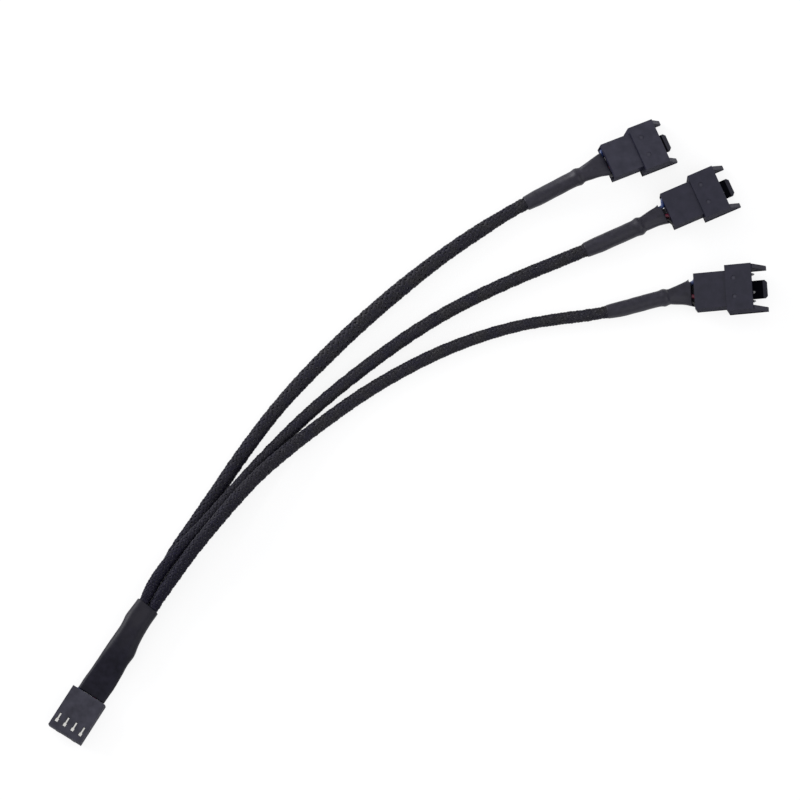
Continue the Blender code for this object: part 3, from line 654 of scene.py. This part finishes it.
def braid_material():
    """Black polyester filament, with strands a little lighter or darker, and painted shade toward the
    junction: darker and less glossy there than along the branches."""
    m = Nodes(
        "braid_filament", BRAID_TONE, 0.5,
        Specular_IOR_Level=0.22, Sheen_Weight=0.22, Sheen_Roughness=0.3,
    )
    strands = m.noise(0.55 * MM)
    paler_braid = m.mixed(m.mapped(strands, 0.0, 1.0), *PALER_BRAID)
    darker_and_shaded_braid = m.mixed(m.mapped(strands, 0.0, 1.0), *DARKER_AND_SHADED_BRAID)
    along = m.add("ShaderNodeSeparateXYZ", {"Vector": m.places}).outputs["X"]
    patches = m.mapped(m.noise(4.0 * MM, detail=3.0), 0.0, 1.0, start=0.35, end=0.65)
    # Painted shade: the darker tone and less gloss toward the junction, where the stacked sleeves shade
    # each other
    dark_patches_and_shade = m.computed("MAXIMUM", patches, m.mapped(along, 0.9, 0.0, *BRAID_SHADE_FADE))
    m.drive("Base Color", m.mixed(dark_patches_and_shade, paler_braid, darker_and_shaded_braid))
    m.drive("Specular IOR Level", m.mapped(along, 0.1, 0.22, *BRAID_SHADE_FADE))
    m.drive("Roughness", m.mapped(m.noise(0.2 * MM), 0.42, 0.62))
    m.drive("Normal", m.bump(m.noise(0.05 * MM, detail=1.0), 0.004 * MM))
    return m.material


def liner_material():
    """What shows between the strands: the black of the wires in the sleeve's shade."""
    m = Nodes("sleeve_core", CORE_TONE, 0.7, Specular_IOR_Level=0.2)
    m.drive("Normal", m.bump(m.noise(0.3 * MM), 0.02 * MM))
    return m.material


def wire_material(circuit, dark, light):
    """Coloured wire insulation: a soft gloss, and a slightly deeper tone in places."""
    m = Nodes(f"insulation_{circuit}", light, 0.34, IOR=1.5)
    m.drive("Base Color", m.mixed(m.mapped(m.noise(0.8 * MM), 0.0, 1.0), dark, light))
    m.drive("Roughness", m.mapped(m.noise(0.3 * MM), 0.28, 0.42))
    m.drive("Normal", m.bump(m.noise(0.15 * MM), 0.006 * MM))
    return m.material


def contact_material(name, dark, light):
    """Tin-plated stamping, with fine rolling marks and a few dull spots."""
    m = Nodes(name, light, 0.22, Metallic=1.0)
    m.drive("Base Color", m.mixed(m.mapped(m.noise(0.6 * MM), 0.0, 1.0), dark, light))
    m.drive("Roughness", m.mapped(m.noise(0.25 * MM, detail=3.0), 0.16, 0.34))
    stretched = m.add("ShaderNodeMapping", {"Vector": m.places})
    stretched.inputs["Scale"].default_value = ROLLING_STRETCH
    lines = m.noise(0.25 * MM, detail=1.0, places=stretched.outputs["Vector"])
    m.drive("Normal", m.bump(lines, 0.003 * MM))
    return m.material


def splice_material():
    """Black tape around the splices, inside the junction's skin."""
    m = Nodes("splice_tape", TAPE_TONE, 0.6)
    m.drive("Normal", m.bump(m.noise(0.4 * MM), 0.03 * MM))
    return m.material


# Braid


def ribbon_profile():
    """Across a carrier, as place from -0.5 to 0.5 and height: filaments side by side over a flat back."""
    top = []
    for k in range(FILAMENTS):
        top.append((k / FILAMENTS - 0.5, FILAMENT_VALLEY if k else 0.0))
        top.append(((k + 0.5) / FILAMENTS - 0.5, FILAMENT_HEIGHT))
    top.append((0.5, 0.0))
    return np.array(top)


def build_braid(number, branch, route, rear, materials):
    """Woven sleeve over a dark liner, from inside the junction's skin to the fan of the wires."""
    first, last = SLEEVE_START - BRANCH_START, rear - SLEEVE_SETBACK
    turns_per_metre = 1.0 / branch["braid_pitch"]
    crossing = branch["braid_pitch"] / (2.0 * CARRIERS)
    step = crossing / STEPS_PER_CROSSING
    distances = np.arange(math.ceil(first / step), math.floor(last / step) + 1) * step
    centres, lefts, ups = route.frames(distances)
    rng = np.random.default_rng(number)
    radii = sleeve_radius(branch, distances) + sum(
        BULGE * np.sin(math.tau * distances / rng.uniform(*BULGE_PERIODS) + rng.uniform(0.0, math.tau))
        for _ in range(BULGES)
    )
    wave = np.cos(math.pi * distances / crossing)
    profile = ribbon_profile()
    columns = len(profile)
    vertices, quads, offset = [], [], 0
    for way in (1.0, -1.0):
        for carrier in range(CARRIERS):
            drift = DRIFT_ANGLE * np.sin(
                distances * rng.uniform(*DRIFT_RATES) + rng.uniform(0.0, math.tau)
            )
            width = RIBBON_WIDTH * rng.uniform(*WIDTH_SHARES)
            heading = way * math.tau * turns_per_metre * distances + math.tau * carrier / CARRIERS + drift
            lean = np.arctan(math.tau * radii * turns_per_metre)
            spread = width / np.cos(lean) / radii
            angles = heading[:, None] + profile[None, :, 0] * spread[:, None]
            lift = LIFT * np.sin(
                math.tau * distances / rng.uniform(*LIFT_PERIODS) + rng.uniform(0.0, math.tau)
            )
            height = radii - RIBBON_DROP + way * RIBBON_WAVE * wave + lift
            reach = height[:, None] + profile[None, :, 1]
            vertices.append(around_line(centres, lefts, ups, reach, angles))
            quads.append(tube_quads(len(distances), columns) + offset)
            offset += len(distances) * columns
    slots = [np.zeros(sum(len(q) for q in quads))]

    covered = np.linspace(first, last, round((last - first) / MM))
    centres, lefts, ups = route.frames(covered)
    around = math.tau * np.arange(LINER_SIDES) / LINER_SIDES
    reach = (sleeve_radius(branch, covered) - LINER_DEPTH)[:, None]
    vertices.append(around_line(centres, lefts, ups, reach, around))
    liner = tube_quads(len(covered), LINER_SIDES) + offset
    quads.append(liner)
    slots.append(np.ones(len(liner)))
    item = add_quads(
        f"branch_{number}_braid", np.concatenate(vertices), np.concatenate(quads),
        materials, np.concatenate(slots),
    )
    return item, [tuple(p) for p in route.at(covered)]


# Heat shrink


def skin_mesh(name, sections, material, cut_back=None):
    """Closed skin through sections, each (centre, left, up, outer outline, inner outline)."""

    def ring(k, outline):
        """Places of an outline of section k, less what a slanted cut takes back."""
        centre, left, up = sections[k][:3]
        places = centre + outline[:, :1] * left + outline[:, 1:] * up
        if cut_back is not None:
            places = places - cut_back(k, outline)[:, None] * np.cross(left, up)
        return places

    forth = range(len(sections))
    rings = [ring(k, sections[k][3]) for k in forth] + [ring(k, sections[k][4]) for k in reversed(forth)]
    quads = tube_quads(len(rings), SKIN_SIDES, closed_rows=True)
    item = add_quads(name, np.concatenate(rings), quads, [material])
    solid = bmesh.new()
    solid.from_mesh(item.data)
    bmesh.ops.recalc_face_normals(solid, faces=solid.faces)
    solid.to_mesh(item.data)
    solid.free()
    return item


def ripple(place, size, seed):
    """Smooth noise from -1 to 1 at a place, with features about size metres across."""
    return noise.noise(Vector(place) / size + Vector([seed * step for step in SEED_STEPS]))


def roughen(sections, seed, height, size):
    """Pushes the outer outlines in and out, as plastic does that shrank unevenly."""
    for centre, left, up, outer, _ in sections:
        middle = outer.mean(axis=0)
        for k, point in enumerate(outer):
            place = centre + point[0] * left + point[1] * up
            away = (point - middle) / np.linalg.norm(point - middle)
            outer[k] = point + away * height * ripple(place, size, seed)


def lip(distance, start, end):
    """How far the outer skin is drawn in near its cut edges, so that they are rounded."""
    near, reach = min(distance - start, end - distance), LIP_ROUND * 2.0
    if near >= reach:
        return 0.0
    t = 1.0 - near / reach
    return LIP_ROUND * (1.0 - math.sqrt(max(0.0, 1.0 - t * t)))


def skin_stations(start, end):
    """Even stations with a few more close to each cut edge."""
    even = np.linspace(start + EDGE_SPAN, end - EDGE_SPAN, round((end - start) / SKIN_STEP))
    return [start + d for d in EDGE_STATIONS] + list(even) + [end - d for d in reversed(EDGE_STATIONS)]


def build_branch_skin(number, branch, route, rear, material):
    """Sleeve-tight at first, with a ridge over the sleeve's end, then a flat flare to the port."""
    start, mouth = rear - SHRINK_SETBACK - SHRINK_LENGTH, rear - branch["skin_setback"]
    sleeve_end = rear - SLEEVE_SETBACK
    neck = sleeve_end + NECK_DISTANCE
    inside = SKIN_THICKNESS - SHRINK_WALL
    sections, cuts = [], []
    for distance in skin_stations(start, mouth):
        wires = [
            (*wire_place(branch, circuit, rear, distance), WIRE_DIAMETER / 2.0)
            for circuit in branch["circuits"]
        ]
        radius = float(sleeve_radius(branch, distance))
        ridge = RIDGE_HEIGHT * math.exp(-((distance - sleeve_end + RIDGE_SETBACK) / RIDGE_REACH) ** 2)
        taper = min(1.0, (distance - start) / START_TAPER)
        thickness = START_THICKNESS + (SKIN_THICKNESS - START_THICKNESS) * taper
        if distance <= sleeve_end:
            circles = [(0.0, 0.0, radius)]
        else:
            t = min(1.0, (distance - sleeve_end) / (neck - sleeve_end))
            eased = t * t * (3.0 - 2.0 * t)
            flare = float(np.clip((distance - neck) / (mouth - neck), 0.0, 1.0))
            mouth_half_height = WIRE_DIAMETER / 2.0 + SKIN_THICKNESS
            tall = NECK_HALF_HEIGHT + (mouth_half_height - NECK_HALF_HEIGHT) * flare ** FLARE_POWER
            wide = NECK_HALF_WIDTH + (branch["mouth_half_width"] - NECK_HALF_WIDTH) * flare
            crown = radius + (tall - SKIN_THICKNESS - radius) * eased
            side = crown + (WIRE_DIAMETER / 2.0 - crown) * max(eased * NECK_TIGHTNESS, flare)
            reach = radius + (wide - SKIN_THICKNESS - radius) * eased - side
            middle = branch["mouth_offset"] * flare
            edges = [(middle + way * reach, 0.0, side) for way in (-1.0, 1.0)]
            circles = wires + edges + [(middle, 0.0, crown)]
        outer_margin = thickness + ridge - lip(distance, start, mouth)
        centre, left, up = route.frames(np.array([distance]))
        outer = skin_outline(circles, outer_margin, BRANCH_GROOVE)
        inner = skin_outline(circles, inside * min(1.0, thickness / SKIN_THICKNESS), 0.0)
        sections.append((centre[0], left[0], up[0], outer, inner))
        near_mouth = float(np.clip(1.0 - (mouth - distance) / MOUTH_CUT_REACH, 0.0, 1.0)) ** 2
        cuts.append((near_mouth * branch["top_lip_back"], near_mouth * branch["left_lip_back"]))
    for seed, height, size in BRANCH_RIPPLES:
        roughen(sections, number + seed, height, size)

    def cut_back(k, outline):
        """How far the slanted cut of the mouth has taken points of section k back."""
        top, side = cuts[k]
        across = outline[:, 0] / branch["mouth_half_width"]
        beyond = np.clip((across - branch["left_lip_from"]) / LEFT_LIP_SPAN, 0.0, 1.0)
        high = np.clip(outline[:, 1] / TOP_LIP_HEIGHT, 0.0, 1.0)
        return np.maximum(top * high, side * beyond)

    return skin_mesh(f"branch_{number}_shrink_skin", sections, material, cut_back)


def junction_circles(distance, row, mouth):
    """Circles under the junction's skin, from the flat row of pigtails to the stacked sleeves."""
    t = float(np.clip((distance - SPLICE_START) / (SPLICE_END - SPLICE_START), 0.0, 1.0))
    eased = t * t * (3.0 - 2.0 * t)
    targets = (mouth[2], mouth[0], mouth[0], mouth[1])
    return [tuple(a + (b - a) * eased for a, b in zip(c, d)) for c, d in zip(row, targets)]


def half_width(table, distance):
    """Half width from a table of pairs, softened over its corners."""
    return float(np.interp(distance + np.array(OUTLINE_READS), *zip(*table)).mean())


def build_junction_skin(junction, material):
    """Over the pigtails and the ends of the sleeves, drawn to the outline's half widths, with its
    far end cut at a slight slant."""
    row = [(circuit_offset(c) * PIGTAIL_SQUEEZE, 0.0, WIRE_DIAMETER / 2.0) for c in CIRCUITS]
    mouth = []
    for branch in BRANCHES:
        across, height = branch["junction_place"]
        mouth.append((across, height - PLUG_AXIS_HEIGHT, branch["sleeve_radii"][0][1]))
    left = np.array(junction.to_3x3() @ Vector((0.0, 1.0, 0.0)))
    ahead = np.array(junction.to_3x3() @ Vector((1.0, 0.0, 0.0)))
    up = np.array((0.0, 0.0, 1.0))
    sections = []
    for distance in skin_stations(JUNCTION_SKIN_START, JUNCTION_SKIN_END):
        circles = junction_circles(distance, row, mouth)
        from_splices = distance - 0.5 * (SPLICE_START + SPLICE_END)
        lumpy = JUNCTION_LUMP * math.exp(-(from_splices / JUNCTION_LUMP_REACH) ** 2)
        margin = SKIN_THICKNESS + lumpy - lip(distance, JUNCTION_SKIN_START, JUNCTION_SKIN_END)
        outer = skin_outline(circles, margin, JUNCTION_GROOVE)
        inner = skin_outline(circles, SHRINK_CLEARANCE, 0.0)
        edge = margin - SKIN_THICKNESS - lumpy
        lefts, rights = outer[:, 0] > 0.0, outer[:, 0] < 0.0
        outer[lefts, 0] *= (half_width(JUNCTION_LEFT, distance) + edge) / outer[:, 0].max()
        outer[rights, 0] *= (half_width(JUNCTION_RIGHT, distance) + edge) / -outer[:, 0].min()
        toward_end = (distance - SPLICE_END) / (JUNCTION_SKIN_END - SPLICE_END)
        slant = JUNCTION_END_SLANT * np.clip(toward_end, 0.0, 1.0)
        lean = left + ahead * slant / JUNCTION_SLANT_REACH
        centre = np.array(junction @ Vector((distance, 0.0, PLUG_AXIS_HEIGHT)))
        sections.append((centre, lean, up, outer, inner))
    for seed, height, size in JUNCTION_RIPPLES:
        roughen(sections, seed, height, size)
    return skin_mesh("junction_shrink_skin", sections, material)


# Wires


def build_wire(number, branch, circuit, route, rear, material):
    """One insulated wire, from the splices through the sleeve to its pin."""
    last = route.length - WIRE_END_GAP
    fan = rear - SLEEVE_SETBACK
    distances = np.concatenate((np.arange(0.0, fan, WIRE_STEP), np.arange(fan, last, FAN_STEP)))
    centres, lefts, ups = route.frames(distances)
    across = np.array([wire_place(branch, circuit, rear, distance) for distance in distances])
    kernel = np.hanning(WIRE_SMOOTHING + 2)[1:-1]
    kernel /= kernel.sum()
    margin = WIRE_SMOOTHING // 2
    padded = np.pad(across, ((margin, margin), (0, 0)), mode="edge")
    across = np.stack([np.convolve(padded[:, k], kernel, mode="valid") for k in range(2)], axis=-1)
    middles = centres + lefts * across[:, :1] + ups * across[:, 1:]
    forward = np.gradient(middles, axis=0)
    forward /= np.linalg.norm(forward, axis=-1, keepdims=True)
    side = np.cross(ups, forward)
    side /= np.linalg.norm(side, axis=-1, keepdims=True)
    top = np.cross(forward, side)
    around = math.tau * np.arange(WIRE_SIDES) / WIRE_SIDES
    places = around_line(middles, side, top, WIRE_DIAMETER / 2.0, around)
    quads = tube_quads(len(distances), WIRE_SIDES)
    return add_quads(f"branch_{number}_insulation_{circuit}", places, quads, [material])


# Dressing of the solids that stay


def paint(node, material):
    """A solid, with this as its only material."""
    item = nodes[node]
    item.data.materials.clear()
    item.data.materials.append(material)
    return item


def dress_edged(node, material, width):
    """Merges a solid's flat faces and rounds its edges by a width."""
    item = paint(node, material)
    flat = item.modifiers.new("flat", "DECIMATE")
    flat.decimate_type = "DISSOLVE"
    flat.angle_limit = math.radians(FLAT_ANGLE)
    rounded = item.modifiers.new("rounded", "BEVEL")
    rounded.width = width
    rounded.segments = EDGE_SEGMENTS
    rounded.limit_method = "ANGLE"
    rounded.angle_limit = math.radians(EDGE_ANGLE)


def dress_round(node, material):
    """Shades a solid smooth, but for its sharp edges."""
    item = paint(node, material)
    item.data.shade_smooth()
    item.data.set_sharp_from_angle(angle=math.radians(SHARP_ANGLE))


# Stage


def background_ray(m):
    """One where a ray shows the background: to the camera, in a reflection or through something."""
    paths = m.add("ShaderNodeLightPath")
    value = paths.outputs["Is Camera Ray"]
    for label in ("Is Glossy Ray", "Is Transmission Ray"):
        value = m.computed("MAXIMUM", value, paths.outputs[label])
    return value


def build_stage():
    """White table under a white sky, two soft lamps, and a camera at the photo's viewing angle."""
    m = Nodes("table", TABLE_TONE, 0.9, Specular_IOR_Level=0.1)
    shade = m.add("ShaderNodeBsdfDiffuse", Color=TABLE_SHADE)
    glow = m.add("ShaderNodeEmission", Strength=TABLE_GLOW)
    both = m.add("ShaderNodeAddShader", {0: shade.outputs[0], 1: glow.outputs[0]})
    lit = m.shader.outputs[0]
    pick = m.add("ShaderNodeMixShader", {0: background_ray(m), 1: lit, 2: both.outputs[0]})
    m.tree.links.new(pick.outputs[0], m.tree.nodes["Material Output"].inputs["Surface"])

    mesh = bpy.data.meshes.new("table")
    corners = ((-1.0, -1.0), (1.0, -1.0), (1.0, 1.0), (-1.0, 1.0))
    places = [(x * TABLE_REACH, y * TABLE_REACH, -TABLE_DROP) for x, y in corners]
    mesh.from_pydata(places, [], [(0, 1, 2, 3)])
    mesh.materials.append(m.material)
    table = add_object("table", mesh)

    world = bpy.data.worlds.new("studio")
    world.use_nodes = True
    background = world.node_tree.nodes["Background"]
    background.inputs["Color"].default_value = (1.0, 1.0, 1.0, 1.0)
    background.inputs["Strength"].default_value = WORLD_STRENGTH
    bpy.context.scene.world = world

    for name, place, size, power in LAMPS:
        lamp = bpy.data.lights.new(name, "AREA")
        lamp.size = size
        lamp.energy = power
        item = add_object(name, lamp)
        item.location = place
        item.rotation_euler = (-Vector(place)).to_track_quat("-Z", "Y").to_euler()

    elevation = math.radians(CAMERA_ELEVATION)
    camera = add_object("camera", bpy.data.cameras.new("camera"))
    backward = Vector((0.0, -math.cos(elevation), math.sin(elevation)))
    camera.location = Vector(CAMERA_TARGET) + CAMERA_DISTANCE * backward
    camera.rotation_euler = (math.pi / 2.0 - elevation, 0.0, 0.0)
    camera.data.lens = CAMERA_LENS
    bpy.context.scene.camera = camera
    bpy.context.scene.view_settings.view_transform = "Standard"


def main():
    """Builds the stage, dresses the solids that stay and puts finer pieces over the rest."""
    build_stage()
    nylon = housing_material("moulded_nylon", *PLUG_NYLON)
    braid, core = braid_material(), liner_material()
    shrink = shrink_material("heat_shrink", *BRANCH_SHRINK, BRANCH_SHRINK_GLOSS)
    junction_shrink = shrink_material(
        "junction_heat_shrink", *JUNCTION_SHRINK, JUNCTION_SHRINK_GLOSS, JUNCTION_PAINTED_LIGHT
    )
    tin = contact_material("tin_plate", *HEADER_TIN)
    shaded_pin_tin = contact_material("pin_plate", *SHADED_PIN_TIN)
    splice = splice_material()
    wires = {circuit: wire_material(circuit, *WIRE_TONES[circuit]) for circuit in CIRCUITS}
    for name in nodes:
        if name.endswith("_housing"):
            dress_edged(name, nylon, MOULDED_EDGE)
        elif "_contact_" in name:
            dress_edged(name, tin, STAMPED_EDGE)
        elif "_pin_" in name:
            dress_edged(name, shaded_pin_tin, STAMPED_EDGE)
        elif name.startswith("pigtail_"):
            dress_round(name, wires[name.removeprefix("pigtail_")])
        elif name == "splice_bundle":
            dress_round(name, splice)

    plug = placement(PLUG_REAR, 0.0, PLUG_HEADING)
    junction_rear = plug @ Vector((0.0, JUNCTION_SHIFT, 0.0))
    junction = placement(junction_rear, 0.0, JUNCTION_HEADING)
    skin = build_junction_skin(junction, junction_shrink)
    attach(skin, "root")
    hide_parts("junction_heat_shrink")

    for number, branch in enumerate(BRANCHES, start=1):
        port = port_frame(branch)
        route = branch_route(branch, junction, port)
        rear = route.length - (PIN_TAIL_START - GAP)
        skin = build_branch_skin(number, branch, route, rear, shrink)
        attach(skin, "root")
        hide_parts(f"branch_{number}_heat_shrink")

        sleeve, path = build_braid(number, branch, route, rear, [braid, core])
        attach(sleeve, "root")
        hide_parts(f"branch_{number}_sleeve")
        housing = nodes[f"fan_port_{number}_housing"]
        # Each port's copy of the nylon, set lighter and darker from port to port as painted light and
        # shade, with painted shade on its tongue and painted highlights in its ejector marks
        housing.data.materials[0] = housing_material(f"moulded_nylon_{number}", *branch["nylon"], port)
        on_branch = [skin, housing]
        for circuit in branch["circuits"]:
            wire = build_wire(number, branch, circuit, route, rear, wires[circuit])
            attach(wire, "root")
            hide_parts(f"branch_{number}_wire_{circuit}")
            on_branch += [wire, nodes[f"fan_port_{number}_pin_{circuit}"]]


main()

bpy.context.view_layer.update()
